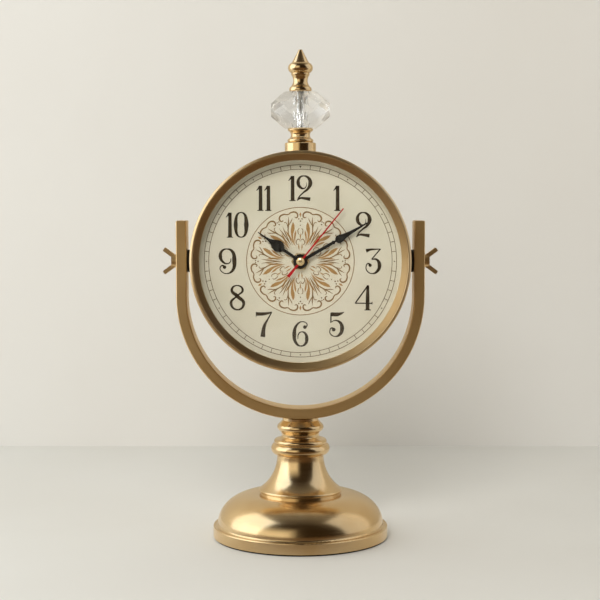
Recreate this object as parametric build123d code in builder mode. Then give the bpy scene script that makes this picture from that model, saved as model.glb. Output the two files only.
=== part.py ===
from build123d import *
from math import atan, cos, degrees, pi, radians, sin, sqrt, tan
import os

os.makedirs("parts", exist_ok=True)

# Table clock: a drum tilts in a U-shaped yoke on a turned pedestal.
# Millimetres. The base stands on the XY plane, the dial faces -Y and the yoke spans X.

# driving dimensions
base_radius = 61.3
pedestal_rise = 53.4
yoke_thickness = 7.3
yoke_depth = 20.5
arm_rise = 52.2
pivot_rise = 24.1
case_radius = 74.6
case_depth = 38.2
arm_gap = 4.1
bead_radius = 20.3
rod_radius = 3.0

# fits and gaps
running_clearance = 0.05
turning_gap = 0.2
thread_gap = 0.1
seat_gap = 0.05

# base: felt pad, spun shell and cast ballast
pad_thickness = 1.2
pad_inset = 1.3
rim_height = 7.7
rim_round = 0.8
dome_inset = 3.2
dome_step = 1.2
dome_rise = 20.8
dome_top_radius = 32.0
shell_wall = 1.4
ballast_gap = 0.6
ballast_rise = 12.0
ballast_bevel = 4.0
ballast_boss_radius = 16.0
well_radius = 12.0
well_depth = 9.0

# pedestal: flare and two turned knops
flare_foot_height = 1.4
flare_lip_radius = 28.5
flare_lip_bulge = 0.6
flare_lip_height = 2.1
flare_top_radius = 16.4
flare_curve = 28.4
flare_wall = 3.0
flare_share = 0.5
knop_share = 0.764
line_fall_share = 0.6
neck_fall_share = 0.15
neck_swell_share = 0.1
tuck_radius = 15.8
ring_radius = 20.6
ring_shoulder_radius = 18.3
line_radius = 18.5
neck_radius = 13.1
upper_ring_radius = 16.2
upper_shoulder_radius = 15.8
cap_radius = 12.6
lower_knop_shares = (0.06, 0.4, 0.64, 0.74, 0.86)
upper_knop_shares = (0.27, 0.44, 0.62, 0.88)

# yoke and tie rod
yoke_edge = 0.8
arm_corner = 1.0
rod_grip_share = 0.7
bore_grip_share = 0.75
rod_tail = 7.4
washer_radius = 9.0
washer_thickness = 1.6
nut_width = 10.0
nut_height = 5.0

# drum: case band, bezel, glass, dial and rear cover
case_wall = 1.6
case_front = 19.1
bezel_wall = 1.45
bezel_skirt = 6.6
bezel_proud = 1.9
bezel_round = 1.1
bezel_rim_width = 2.4
bezel_rim_drop = 0.4
glass_hold = 3.5
bezel_lip = 0.8
lip_depth = 1.8
glass_thickness = 1.8
glass_edge = 0.3
dial_drop = 7.5
dial_thickness = 0.8
spacer_wall = 1.7
clamp_height = 2.0
cover_thickness = 1.2
cover_recess = 1.8
cover_hem = 1.5
access_margin = 5.0
access_round = 5.0
lug_width = 9.0
lug_depth = 6.5
lug_length = 7.0
lug_count = 4
lug_turn = 45.0
screw_radius = 1.25
screw_length = 6.0
screw_head_radius = 2.6
screw_head = 1.5
slot_width = 0.7
slot_depth = 0.7

# pivots and wing nuts
pivot_pad_width = 20.0
pivot_pad_depth = 9.6
pivot_pad_thickness = 4.2
pivot_pad_round = 2.0
bolt_head_width = 9.0
bolt_head = 3.0
stud_proud = 3.3
spacer_radius = 7.8
hub_radius = 4.5
hub_height = 3.6
hub_round = 0.5
wing_angle = 36.7
wing_length = 8.6
wing_width = 2.9
wing_thickness = 4.2
wing_start = 2.0
wing_offset = 3.2
wing_round = 0.8

# finial
finial_collar_radius = 10.8
collar_edge = 0.5
finial_shoulder_radius = 8.5
finial_waist_radius = 6.6
finial_flange_radius = 8.8
finial_seat_rise = 17.4
finial_rod_radius = 2.7
bead_height = 24.8
bead_sides = 8
lozenge_rise = 4.6
table_taper = 50.3
tip_height = 29.2
tip_flange_radius = 7.8
tip_neck_radius = 5.0
tip_line_radius = 6.5
tip_bulb_radius = 8.6
tip_shoulder_radius = 6.0
tip_cone_radius = 3.6
tip_end_radius = 1.5
tip_flat_radius = 0.9
finial_nut_width = 9.0
finial_nut_height = 4.0
rod_rise_share = 0.3
socket_rise_share = 0.34
collar_shares = (0.42, 0.44, 0.505, 0.565, 0.715, 0.88, 0.94)
tip_shares = (0.055, 0.11, 0.27, 0.385, 0.42, 0.445, 0.575, 0.69, 0.705, 0.84, 0.975)

# movement
movement_depth = 16.0
movement_wall = 1.5
movement_split_share = 0.39
movement_round = 3.0
bush_radius = 4.0
bush_proud = 2.0
bush_nut_width = 11.0
bush_nut_height = 1.6
bearing_depth = 1.0
post_radius = 2.2
post_gap = 0.4
battery_radius = 7.1
battery_length = 50.5
battery_nub_radius = 2.7
battery_nub = 1.2
bay_gap = 0.3
bay_wall = 1.2
bay_floor_gap = 0.1
contact_thickness = 0.5
contact_width = 12.0
contact_boss = 0.75
contact_boss_radius = 2.5
coil_flange_radius = 4.6
coil_radius = 3.4
coil_length = 22.0
coil_flange = 1.0
coil_side_gap = 2.9
coil_end_gap = 2.5
board_thickness = 1.0
board_length = 24.0
board_width = 13.0
board_side_gap = 1.0
board_end_gap = 1.5
chip_width = 5.0

# wheels
wheel_distance = 12.0
cannon_teeth = 12
minute_wheel_teeth = 36
relay_teeth = 10
hour_wheel_teeth = 40
addendum_share = 0.8
dedendum_share = 1.1
sunk_share = 0.2
tooth_share = 0.58
flank_angle = 76.0
wheel_thickness = 1.2
wheel_gap = 0.4
wheel_margin = 0.5
relay_length = 1.9
cannon_length = 2.0
cannon_drop = 0.2
hour_pipe_radius = 2.55
hour_pipe_wall = 0.8
arbor_radius = 0.55
arbor_tail = 3.0
knob_shaft_radius = 1.2
knob_radius = 5.0
knob_height = 3.8
knob_gap = 0.5
knob_bore_depth = 2.5
knob_grips = 12
grip_radius = 0.7

# hands, pointing along their own first axis
hand_thickness = 0.4
hand_gap = 0.9
hour_hand_gap = 0.55
pipe_end = 0.3
hour_angle = 305.1
minute_angle = 61.0
second_angle = 39.0
hour_length = 35.5
hour_boss_radius = 4.4
hour_neck = 13.8
hour_bulge = 18.6
hour_bulge_half = 4.3
hour_lean_share = 0.2
hour_taper = 27.0
hour_taper_half = 1.2
minute_length = 54.0
minute_boss_radius = 5.0
minute_neck = 27.4
minute_bulge = 30.8
minute_bulge_half = 3.2
minute_lean_share = 0.3
minute_taper = 40.0
minute_taper_half = 1.0
minute_bead = 24.6
minute_bead_radius = 1.8
stem_half = 1.1
tip_half = 0.25
second_length = 47.0
second_half = 0.55
second_tail = 13.6
second_tail_half = 1.1
second_boss_radius = 2.0
cap_dome_radius = 2.95
cap_dome_height = 1.2
cap_flat_radius = 0.5

# levels, each from the one below
rim_top = pad_thickness + rim_height
dome_foot = rim_top + dome_step
dome_top = dome_foot + dome_rise
yoke_bottom = dome_top + pedestal_rise
yoke_radius = case_radius + arm_gap + yoke_thickness
bend_level = yoke_bottom + yoke_radius
pivot_height = bend_level + pivot_rise
arm_top = bend_level + arm_rise
flare_top = dome_top + pedestal_rise * flare_share
knop_joint = dome_top + pedestal_rise * knop_share
case_top = pivot_height + case_radius
bead_seat = case_top + finial_seat_rise
bead_middle = bead_seat + bead_height / 2
bead_top = bead_seat + bead_height
finial_top = bead_top + tip_height

# depths in front of the yoke's middle; what is behind it is negative
bezel_front = case_front + bezel_proud
glass_front = case_front - lip_depth
glass_back = glass_front - glass_thickness
dial_front = glass_back - dial_drop
dial_back = dial_front - dial_thickness
case_rear = case_front - case_depth
cover_outer = case_rear + cover_recess
cover_inner = cover_outer + cover_thickness
movement_rear = dial_back - movement_depth
movement_split = dial_back - movement_depth * movement_split_share
plate_inner = dial_back - movement_wall
floor_inner = movement_rear + movement_wall
bush_front = dial_front + bush_proud
hour_hand_back = bush_front + hour_hand_gap
minute_hand_back = hour_hand_back + hand_thickness + hand_gap
second_hand_back = minute_hand_back + hand_thickness + hand_gap
second_hand_front = second_hand_back + hand_thickness

# radii and sizes that follow from the fits
case_inside = case_radius - case_wall
bezel_radius = case_radius + bezel_wall
yoke_inside = yoke_radius - yoke_thickness
rod_bore = rod_radius + thread_gap
pivot_bore = rod_radius + running_clearance
finial_bore = finial_rod_radius + thread_gap
drum_fill = case_inside - seat_gap
bezel_opening = drum_fill - glass_hold
hour_bore = hour_pipe_radius - hour_pipe_wall
minute_pipe_radius = hour_bore - running_clearance
minute_bore = arbor_radius + running_clearance
going_module = wheel_distance * 2 / (cannon_teeth + minute_wheel_teeth)
relay_module = wheel_distance * 2 / (relay_teeth + hour_wheel_teeth)
hour_wheel_radius = relay_module * (hour_wheel_teeth / 2 + addendum_share)
hour_wheel_back = plate_inner - wheel_gap - wheel_thickness
relay_back = hour_wheel_back - wheel_gap - cannon_drop
cannon_back = hour_wheel_back - cannon_drop - cannon_length

# the movement's case goes round the battery and, above it, the wheels
bay_half = battery_length / 2 + contact_boss + contact_thickness
works_foot = -hour_wheel_radius - wheel_margin
bay_top = works_foot - bay_wall
battery_rise = bay_top - bay_gap - battery_radius
bay_foot = battery_rise - battery_radius - bay_gap
battery_depth = plate_inner - bay_floor_gap - battery_radius
movement_width = (bay_half + movement_wall) * 2
movement_height = (movement_wall - bay_foot) * 2
access_width = movement_width + access_margin * 2
access_height = movement_height + access_margin * 2
coil_offset = bay_half - coil_side_gap - coil_flange_radius
coil_lift = works_foot + coil_end_gap + coil_length / 2
board_offset = bay_half - board_side_gap - board_width / 2
board_lift = works_foot + board_end_gap + board_length / 2

upright = Plane.XZ
clock_axis = Axis((0, 0, pivot_height), (0, 1, 0))
clock_section = Plane(origin=(0, 0, pivot_height), x_dir=(1, 0, 0), z_dir=(0, 0, -1))


def level(bottom, top, share):
    """A height between two others."""
    return bottom + (top - bottom) * share


def falls_away(radius, reach):
    """How far a round of this radius has fallen away at this reach from its top."""
    return radius - sqrt(radius**2 - reach**2)


def facing(depth, rise=0):
    """The plane square to the dial, this far forward of the yoke's middle."""
    return Plane(origin=(0, -depth, pivot_height + rise), x_dir=(1, 0, 0), z_dir=(0, -1, 0))


def beside(reach):
    """The plane square to the tilt axis, this far to the right of the middle."""
    return Plane(origin=(reach, 0, pivot_height), x_dir=(0, 1, 0), z_dir=(1, 0, 0))


def pointing(depth, angle):
    """As facing, with its first axis turned clockwise from upright by the angle."""
    turned = (sin(radians(angle)), 0, cos(radians(angle)))
    return Plane(origin=(0, -depth, pivot_height), x_dir=turned, z_dir=(0, -1, 0))


def draw_wheel(teeth, module, turn):
    """A toothed wheel in the open sketch, with a tooth at the turn angle."""
    root_radius = module * (teeth / 2 - dedendum_share)
    tooth_height = module * (addendum_share + dedendum_share + sunk_share)
    Circle(root_radius)
    with PolarLocations(root_radius - module * sunk_share, teeth, start_angle=turn):
        Trapezoid(
            module * pi * tooth_share,
            tooth_height,
            flank_angle,
            rotation=-90,
            align=(Align.CENTER, Align.MIN),
        )


# felt pad: the whole clock stands on it
with BuildPart() as base_pad:
    with BuildSketch():
        Circle(base_radius - pad_inset)
    extrude(amount=pad_thickness)

# base shell: spun sheet with an upright rim, a cove and a quarter-ellipse dome
dome_radius = base_radius - dome_inset
cove_start = dome_radius + dome_step
rim_inside = base_radius - shell_wall
dome_inside = dome_radius - shell_wall
with BuildPart() as base_shell:
    with BuildSketch(upright):
        with BuildLine():
            Line((rim_inside, pad_thickness), (base_radius, pad_thickness))
            Line((base_radius, pad_thickness), (base_radius, rim_top - rim_round))
            RadiusArc((base_radius, rim_top - rim_round), (base_radius - rim_round, rim_top), -rim_round)
            Line((base_radius - rim_round, rim_top), (cove_start, rim_top))
            RadiusArc((cove_start, rim_top), (dome_radius, dome_foot), dome_step)
            EllipticalCenterArc(
                (dome_top_radius, dome_foot), dome_radius - dome_top_radius, dome_rise, arc_size=90
            )
            Polyline(
                (dome_top_radius, dome_top),
                (rod_bore, dome_top),
                (rod_bore, dome_top - shell_wall),
                (dome_top_radius, dome_top - shell_wall),
            )
            EllipticalCenterArc(
                (dome_top_radius, dome_foot),
                dome_inside - dome_top_radius,
                dome_rise - shell_wall,
                arc_size=90,
            )
            Polyline(
                (dome_inside, dome_foot),
                (dome_inside, rim_top - shell_wall),
                (rim_inside, rim_top - shell_wall),
                (rim_inside, pad_thickness),
            )
        make_face()
    revolve(axis=Axis.Z)

# ballast: cast disc that fills the rim, with a boss up to the shell and a well for the nut
ballast_radius = rim_inside - ballast_gap
ballast_step = dome_inside - ballast_gap
ballast_top = pad_thickness + ballast_rise
well_top = pad_thickness + well_depth
with BuildPart() as base_ballast:
    with BuildSketch(upright):
        with BuildLine():
            Polyline(
                (well_radius, pad_thickness),
                (ballast_radius, pad_thickness),
                (ballast_radius, rim_top - shell_wall - ballast_gap),
                (ballast_step, rim_top - shell_wall - ballast_gap),
                (ballast_step, ballast_top - ballast_bevel),
                (ballast_step - ballast_bevel, ballast_top),
                (ballast_boss_radius, ballast_top),
                (ballast_boss_radius, dome_top - shell_wall),
                (rod_bore, dome_top - shell_wall),
                (rod_bore, well_top),
                (well_radius, well_top),
                (well_radius, pad_thickness),
            )
        make_face()
    revolve(axis=Axis.Z)

# flare: hollow trumpet with a half-round lip, on a low foot that stands on the dome
lip_foot = dome_top + flare_foot_height
lip_top = lip_foot + flare_lip_height
lip_middle = (lip_foot + lip_top) / 2
flare_foot_radius = flare_lip_radius - flare_lip_bulge
with BuildPart() as column_flare:
    with BuildSketch(upright):
        with BuildLine():
            Polyline(
                (flare_foot_radius, dome_top), (flare_foot_radius, lip_foot), (flare_lip_radius, lip_foot)
            )
            ThreePointArc(
                (flare_lip_radius, lip_foot),
                (flare_lip_radius + flare_lip_bulge, lip_middle),
                (flare_lip_radius, lip_top),
            )
            RadiusArc((flare_lip_radius, lip_top), (flare_top_radius, flare_top), flare_curve)
            Polyline(
                (flare_top_radius, flare_top),
                (rod_bore, flare_top),
                (rod_bore, flare_top - flare_wall),
                (flare_top_radius - flare_wall, flare_top - flare_wall),
            )
            RadiusArc(
                (flare_top_radius - flare_wall, flare_top - flare_wall),
                (flare_lip_radius - flare_wall, dome_top),
                -(flare_curve + flare_wall),
            )
            Line((flare_lip_radius - flare_wall, dome_top), (flare_foot_radius, dome_top))
        make_face()
    revolve(axis=Axis.Z)

# lower knop: a full ring, a fine line and the neck
tuck, ring, shoulder, line, line_top = (
    level(flare_top, knop_joint, share) for share in lower_knop_shares
)
line_edge = level(neck_radius, line_radius, line_fall_share)
neck_hollow = level(neck_radius, line_radius, neck_fall_share)
with BuildPart() as lower_knop:
    with BuildSketch(upright):
        with BuildLine():
            Polyline(
                (rod_bore, knop_joint),
                (rod_bore, flare_top),
                (tuck_radius, flare_top),
                (tuck_radius, tuck),
            )
            ThreePointArc((tuck_radius, tuck), (ring_radius, ring), (ring_shoulder_radius, shoulder))
            ThreePointArc((ring_shoulder_radius, shoulder), (line_radius, line), (line_edge, line_top))
            ThreePointArc(
                (line_edge, line_top),
                (neck_hollow, (line_top + knop_joint) / 2),
                (neck_radius, knop_joint),
            )
            Line((neck_radius, knop_joint), (rod_bore, knop_joint))
        make_face()
    revolve(axis=Axis.Z)

# upper knop: neck, ring and a cap cut to sit under the yoke's curve
neck_top, upper_ring, upper_shoulder, cap_foot = (
    level(knop_joint, yoke_bottom, share) for share in upper_knop_shares
)
neck_middle = (knop_joint + neck_top) / 2
neck_edge = (neck_radius + upper_shoulder_radius) / 2
cap_top = yoke_bottom + falls_away(yoke_radius, cap_radius) + seat_gap
with BuildPart() as upper_knop:
    with BuildSketch(upright):
        with BuildLine():
            Polyline((rod_bore, cap_top), (rod_bore, knop_joint), (neck_radius, knop_joint))
            ThreePointArc(
                (neck_radius, knop_joint),
                (level(neck_radius, upper_shoulder_radius, neck_swell_share), neck_middle),
                (neck_edge, neck_top),
            )
            ThreePointArc(
                (neck_edge, neck_top),
                (upper_ring_radius, upper_ring),
                (upper_shoulder_radius, upper_shoulder),
            )
            Polyline(
                (upper_shoulder_radius, upper_shoulder),
                (cap_radius, cap_foot),
                (cap_radius, cap_top),
                (rod_bore, cap_top),
            )
        make_face()
    revolve(axis=Axis.Z)
    with BuildSketch(upright):
        with Locations((0, bend_level)):
            Circle(yoke_radius)
    extrude(amount=upper_ring_radius, both=True, mode=Mode.SUBTRACT)

# tie rod, washer and nut clamp the pedestal from the well up into the yoke
rod_bottom = well_top - rod_tail
with BuildPart() as tie_rod:
    with BuildSketch(Plane.XY.offset(rod_bottom)):
        Circle(rod_radius)
    extrude(amount=yoke_bottom + yoke_thickness * rod_grip_share - rod_bottom)

with BuildPart() as tie_washer:
    with BuildSketch(Plane.XY.offset(well_top - washer_thickness)):
        Circle(washer_radius)
        Circle(rod_bore, mode=Mode.SUBTRACT)
    extrude(amount=washer_thickness)

with BuildPart() as tie_nut:
    with BuildSketch(Plane.XY.offset(well_top - washer_thickness - nut_height)):
        RegularPolygon(nut_width / 2, 6, major_radius=False)
        Circle(rod_bore, mode=Mode.SUBTRACT)
    extrude(amount=nut_height)

# yoke: one flat bar bent to a U, drilled for the pivots and the tie rod
bar_middle = yoke_radius - yoke_thickness / 2
with BuildPart() as yoke:
    with BuildSketch(upright):
        with BuildLine() as bow:
            Line((-bar_middle, arm_top), (-bar_middle, bend_level))
            CenterArc((0, bend_level), bar_middle, 180, 180)
            Line((bar_middle, bend_level), (bar_middle, arm_top))
        trace(bow.line, line_width=yoke_thickness)
    extrude(amount=yoke_depth / 2, both=True)
    arm_ends = yoke.faces().filter_by(Axis.Z).group_by(Axis.Z)[-1]
    fillet(arm_ends.edges().filter_by(Axis.Y), arm_corner)
    fillet(yoke.faces().sort_by(Axis.Y)[0].edges() + yoke.faces().sort_by(Axis.Y)[-1].edges(), yoke_edge)
    with BuildSketch(beside(0)):
        Circle(pivot_bore)
    extrude(amount=yoke_radius, both=True, mode=Mode.SUBTRACT)
    with BuildSketch(Plane.XY.offset(yoke_bottom)):
        Circle(rod_bore)
    extrude(amount=yoke_thickness * bore_grip_share, mode=Mode.SUBTRACT)

# case band: rolled tube with four lugs for the rear cover
lug_middle = case_inside - lug_depth / 2
with BuildPart() as case_band:
    with BuildSketch(facing(case_rear)):
        Circle(case_radius)
        Circle(case_inside, mode=Mode.SUBTRACT)
    extrude(amount=case_depth)
    with BuildSketch(facing(cover_inner)):
        with PolarLocations(lug_middle + seat_gap, lug_count, start_angle=lug_turn):
            Rectangle(lug_depth + seat_gap, lug_width)
    extrude(amount=lug_length)
    with BuildSketch(facing(cover_inner)):
        with PolarLocations(lug_middle, lug_count, start_angle=lug_turn):
            Circle(screw_radius + seat_gap)
    extrude(amount=screw_length, mode=Mode.SUBTRACT)
    with BuildSketch(beside(0)):
        Circle(rod_bore)
    extrude(amount=case_radius, both=True, mode=Mode.SUBTRACT)
    with BuildSketch(Plane.XY.offset(pivot_height)):
        Circle(finial_bore)
    extrude(amount=case_radius, mode=Mode.SUBTRACT)

# bezel: turned ring with a bright outer bead and a slope down to the glass
slope_start = bezel_radius - bezel_rim_width
lip_back = glass_front + bezel_lip
with BuildPart() as bezel:
    with BuildSketch(clock_section):
        with BuildLine():
            Polyline(
                (drum_fill, case_front),
                (case_radius + seat_gap, case_front),
                (case_radius + seat_gap, case_front - bezel_skirt),
                (bezel_radius, case_front - bezel_skirt),
                (bezel_radius, bezel_front - bezel_round),
            )
            bead_edge = JernArc((bezel_radius, bezel_front - bezel_round), (0, 1), bezel_round, 90)
            Polyline(
                bead_edge @ 1,
                (slope_start + bezel_rim_drop, bezel_front),
                (slope_start, bezel_front - bezel_rim_drop),
                (bezel_opening, lip_back),
                (bezel_opening, glass_front),
                (drum_fill, glass_front),
                (drum_fill, case_front),
            )
        make_face()
    revolve(axis=clock_axis)

with BuildPart() as front_glass:
    with BuildSketch(facing(glass_back)):
        Circle(drum_fill - seat_gap)
    extrude(amount=glass_thickness)
    chamfer(front_glass.faces().sort_by(Axis.Y)[-1].edges(), glass_edge)

with BuildPart() as dial_spacer:
    with BuildSketch(facing(dial_front)):
        Circle(drum_fill)
        Circle(drum_fill - spacer_wall, mode=Mode.SUBTRACT)
    extrude(amount=dial_drop)

with BuildPart() as dial:
    with BuildSketch(facing(dial_back)):
        Circle(drum_fill)
        Circle(bush_radius + thread_gap, mode=Mode.SUBTRACT)
    extrude(amount=dial_thickness)

with BuildPart() as dial_clamp:
    with BuildSketch(facing(dial_back - clamp_height)):
        Circle(drum_fill)
        Circle(drum_fill - spacer_wall, mode=Mode.SUBTRACT)
    extrude(amount=clamp_height)

# rear cover: disc with a hemmed square opening for the movement
hem = cover_thickness * 2
with BuildPart() as rear_cover:
    with BuildSketch(facing(cover_outer)):
        Circle(drum_fill)
    extrude(amount=cover_thickness)
    with BuildSketch(facing(cover_inner)):
        RectangleRounded(access_width + hem, access_height + hem, access_round + cover_thickness)
    extrude(amount=cover_hem)
    with BuildSketch(facing(cover_outer)):
        RectangleRounded(access_width, access_height, access_round)
        with PolarLocations(lug_middle, lug_count, start_angle=lug_turn):
            Circle(screw_radius + thread_gap)
    extrude(amount=cover_thickness + cover_hem, mode=Mode.SUBTRACT)

cover_screws = []
for number in range(lug_count):
    screw_turn = radians(lug_turn + number * 360 / lug_count)
    screw_place = (lug_middle * cos(screw_turn), lug_middle * sin(screw_turn))
    with BuildPart() as cover_screw:
        with BuildSketch(facing(cover_outer - screw_head)):
            with Locations(screw_place):
                Circle(screw_head_radius)
        extrude(amount=screw_head)
        chamfer(cover_screw.faces().sort_by(Axis.Y)[-1].edges(), screw_head / 2)
        with BuildSketch(facing(cover_outer)):
            with Locations(screw_place):
                Circle(screw_radius)
        extrude(amount=screw_length)
        with BuildSketch(facing(cover_outer - screw_head)):
            with Locations(screw_place):
                Rectangle(screw_head_radius * 2, slot_width)
        extrude(amount=slot_depth, mode=Mode.SUBTRACT)
    cover_screws.append(cover_screw)

# pivots on the right: pad inside the case, headed stud, saddle spacer and wing nut
pad_face = case_inside - pivot_pad_thickness
stud_end = yoke_radius + stud_proud
with BuildPart() as right_pad:
    with BuildSketch(beside(pad_face)):
        RectangleRounded(pivot_pad_depth, pivot_pad_width, pivot_pad_round)
        Circle(rod_bore, mode=Mode.SUBTRACT)
    extrude(amount=pivot_pad_thickness)
    with BuildSketch(facing(0)):
        Circle(drum_fill)
    extrude(amount=pivot_pad_depth, both=True, mode=Mode.INTERSECT)

with BuildPart() as right_stud:
    with BuildSketch(beside(pad_face - bolt_head)):
        RegularPolygon(bolt_head_width / 2, 6, major_radius=False)
    extrude(amount=bolt_head)
    with BuildSketch(beside(pad_face)):
        Circle(rod_radius)
    extrude(amount=stud_end - pad_face)
    chamfer(right_stud.faces().sort_by(Axis.X)[-1].edges(), hub_round)

spacer_start = case_radius - falls_away(case_radius, spacer_radius) - seat_gap
with BuildPart() as right_spacer:
    with BuildSketch(beside(spacer_start)):
        Circle(spacer_radius)
        Circle(rod_bore, mode=Mode.SUBTRACT)
    extrude(amount=yoke_inside - turning_gap - spacer_start)
    with BuildSketch(facing(0)):
        Circle(case_radius)
    extrude(amount=spacer_radius, both=True, mode=Mode.SUBTRACT)

hub_face = yoke_radius + turning_gap
with BuildPart() as right_wing_nut:
    with BuildSketch(facing(0)):
        with Locations((hub_face + wing_start, wing_offset)):
            Rectangle(wing_length, wing_width, rotation=wing_angle, align=(Align.MIN, Align.CENTER))
        mirror(about=Plane.XZ)
    extrude(amount=wing_thickness / 2, both=True)
    wing_tips = right_wing_nut.edges().filter_by(Axis.Y).group_by(Axis.X)[-2:]
    fillet(wing_tips[0] + wing_tips[1], wing_round)
    with BuildSketch(beside(hub_face)):
        Circle(hub_radius)
    extrude(amount=hub_height)
    with BuildSketch(beside(hub_face)):
        Circle(pivot_bore)
    extrude(amount=wing_length, mode=Mode.SUBTRACT)

left_pivots = {}
for name, right in {
    "left_pad": right_pad,
    "left_stud": right_stud,
    "left_spacer": right_spacer,
    "left_wing_nut": right_wing_nut,
}.items():
    with BuildPart() as left:
        mirror(right.part, about=Plane.YZ)
    left_pivots[name] = left

# finial collar: saddle on the case, shoulder, waist and flange under the bead
shoulder_foot, shoulder_start, shoulder_middle, shoulder_end, waist, flange, flange_middle = (
    level(case_top, bead_seat, share) for share in collar_shares
)
collar_foot = case_top - falls_away(case_radius, finial_collar_radius) - seat_gap
with BuildPart() as finial_collar:
    with BuildSketch(upright):
        with BuildLine():
            Polyline(
                (finial_bore, bead_seat),
                (finial_bore, collar_foot),
                (finial_collar_radius, collar_foot),
                (finial_collar_radius, shoulder_foot - collar_edge),
                (finial_collar_radius - collar_edge, shoulder_foot),
                (finial_shoulder_radius, shoulder_start),
            )
            ThreePointArc(
                (finial_shoulder_radius, shoulder_start),
                (finial_shoulder_radius + collar_edge, shoulder_middle),
                (finial_shoulder_radius, shoulder_end),
            )
            ThreePointArc(
                (finial_shoulder_radius, shoulder_end),
                (finial_waist_radius, waist),
                (finial_flange_radius - collar_edge, flange),
            )
            ThreePointArc(
                (finial_flange_radius - collar_edge, flange),
                (finial_flange_radius, flange_middle),
                (finial_flange_radius - collar_edge, bead_seat),
            )
            Line((finial_flange_radius - collar_edge, bead_seat), (finial_bore, bead_seat))
        make_face()
    revolve(axis=Axis.Z)
    with BuildSketch(facing(0)):
        Circle(case_radius)
    extrude(amount=finial_collar_radius, both=True, mode=Mode.SUBTRACT)

finial_nut_top = pivot_height + case_inside - seat_gap - collar_edge / 2
with BuildPart() as finial_nut:
    with BuildSketch(Plane.XY.offset(finial_nut_top - finial_nut_height)):
        RegularPolygon(finial_nut_width / 2, 6, major_radius=False)
        Circle(finial_bore, mode=Mode.SUBTRACT)
    extrude(amount=finial_nut_height)

finial_rod_foot = finial_nut_top - finial_nut_height - collar_edge
with BuildPart() as finial_rod:
    with BuildSketch(Plane.XY.offset(finial_rod_foot)):
        Circle(finial_rod_radius)
    extrude(amount=level(bead_top, finial_top, rod_rise_share) - finial_rod_foot)

# cut bead: a band of upright lozenges, two crowns of facets and a flat table, top and bottom
half_side = 180 / bead_sides
bead_corner = bead_radius / cos(radians(half_side))
crown_drop = bead_corner - bead_radius * cos(radians(half_side))
crown_taper = degrees(atan(crown_drop / lozenge_rise))
table_start = bead_radius + lozenge_rise * tan(radians(table_taper))
with BuildPart() as cut_bead:
    with BuildSketch(Plane.XY.offset(bead_middle)):
        RegularPolygon(bead_radius, bead_sides, major_radius=False, rotation=half_side)
    extrude(amount=bead_height / 2)
    with BuildSketch(Plane.XY.offset(bead_middle)):
        RegularPolygon(bead_corner, bead_sides, major_radius=False)
    extrude(amount=bead_height / 2, taper=crown_taper, mode=Mode.INTERSECT)
    with BuildSketch(Plane.XY.offset(bead_middle)):
        RegularPolygon(table_start, bead_sides, major_radius=False, rotation=half_side)
    extrude(amount=bead_height / 2, taper=table_taper, mode=Mode.INTERSECT)
    mirror(about=Plane.XY.offset(bead_middle))
    with BuildSketch(Plane.XY.offset(bead_seat)):
        Circle(finial_bore)
    extrude(amount=bead_height, mode=Mode.SUBTRACT)

# finial tip: flange, neck, line, bulb, shoulder and a drawn cone
(
    tip_flange,
    tip_flange_top,
    tip_neck,
    tip_line,
    tip_line_top,
    bulb_foot,
    bulb,
    bulb_top,
    tip_shoulder,
    tip_cone,
    tip_end,
) = (level(bead_top, finial_top, share) for share in tip_shares)
socket_top = level(bead_top, finial_top, socket_rise_share)
with BuildPart() as finial_tip:
    with BuildSketch(upright):
        with BuildLine():
            Polyline(
                (0, finial_top),
                (0, socket_top),
                (finial_bore, socket_top),
                (finial_bore, bead_top),
                (tip_flange_radius - collar_edge, bead_top),
            )
            ThreePointArc(
                (tip_flange_radius - collar_edge, bead_top),
                (tip_flange_radius, tip_flange),
                (tip_flange_radius - collar_edge, tip_flange_top),
            )
            ThreePointArc(
                (tip_flange_radius - collar_edge, tip_flange_top),
                (tip_neck_radius, tip_neck),
                (tip_line_radius - collar_edge, tip_line),
            )
            Polyline(
                (tip_line_radius - collar_edge, tip_line),
                (tip_line_radius, tip_line_top),
                (tip_line_radius - collar_edge / 2, bulb_foot),
            )
            ThreePointArc(
                (tip_line_radius - collar_edge / 2, bulb_foot),
                (tip_bulb_radius, bulb),
                (tip_shoulder_radius, bulb_top),
            )
            Line((tip_shoulder_radius, bulb_top), (tip_shoulder_radius - collar_edge / 2, tip_shoulder))
            ThreePointArc(
                (tip_shoulder_radius - collar_edge / 2, tip_shoulder),
                (tip_cone_radius, tip_cone),
                (tip_end_radius, tip_end),
            )
            tip_round = EllipticalCenterArc(
                (tip_flat_radius, tip_end),
                tip_end_radius - tip_flat_radius,
                finial_top - tip_end,
                arc_size=90,
            )
            Line(tip_round @ 1, (0, finial_top))
        make_face()
    revolve(axis=Axis.Z)

# movement: two moulded halves; the front half carries the threaded bush
with BuildPart() as movement_front:
    with BuildSketch(facing(movement_split)):
        RectangleRounded(movement_width, movement_height, movement_round)
    extrude(amount=dial_back - movement_split)
    with BuildSketch(facing(movement_split)):
        RectangleRounded(bay_half * 2, -bay_foot * 2, movement_round - movement_wall)
    extrude(amount=plate_inner - movement_split, mode=Mode.SUBTRACT)
    with BuildSketch(facing(dial_back)):
        Circle(bush_radius)
    extrude(amount=bush_front - dial_back)
    with BuildSketch(facing(plate_inner)):
        Circle(hour_pipe_radius + running_clearance)
    extrude(amount=bush_front - plate_inner, mode=Mode.SUBTRACT)
    with BuildSketch(facing(plate_inner, wheel_distance)):
        Circle(knob_shaft_radius + running_clearance)
    extrude(amount=bearing_depth, mode=Mode.SUBTRACT)

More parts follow.
